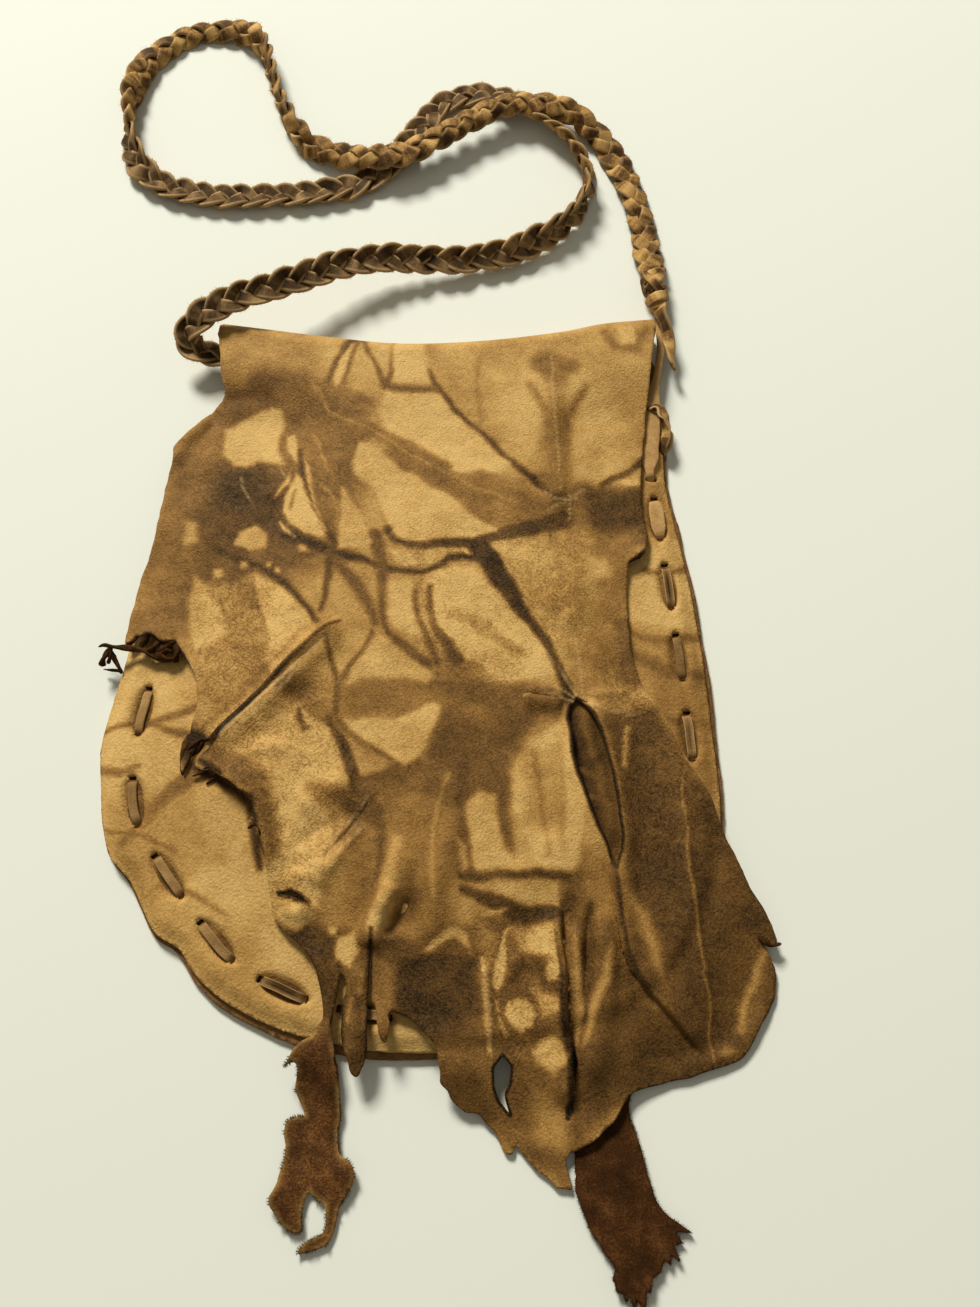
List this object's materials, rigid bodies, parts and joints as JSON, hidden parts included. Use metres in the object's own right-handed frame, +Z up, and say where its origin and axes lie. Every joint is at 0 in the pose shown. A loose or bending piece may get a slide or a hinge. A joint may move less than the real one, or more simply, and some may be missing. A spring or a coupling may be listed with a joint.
{
  "type": "leather pouch",
  "caption": "Flat laced hide pouch with a ragged fold-over flap and a long braided shoulder strap laid out above it.",
  "frame": {"origin": "on the surface that the pouch lies on, under the middle of the pouch's own box, strap left out", "axes": "+X to the right across the flap, +Y from the pouch's body past its fold towards the strap, +Z up out of the surface"},
  "size_m": [0.2631, 0.5263, 0.0216],
  "materials": {
    "dyed_hide": "soft matt hide, blotched with brown dye",
    "pale_hide": "soft matt hide, pale tan",
    "lace": "brushed flesh side",
    "strap_leather": "soft matt strips with pale cut edges"
  },
  "bodies": {
    "root": {"hide": "dyed_hide", "front_panel": "pale_hide", "lacing": "lace", "edge_loop": "lace", "strap": "strap_leather", "strap_knot": "strap_leather", "strap_tail": "strap_leather", "strap_stop_knot": "strap_leather"}
  },
  "joints": []
}
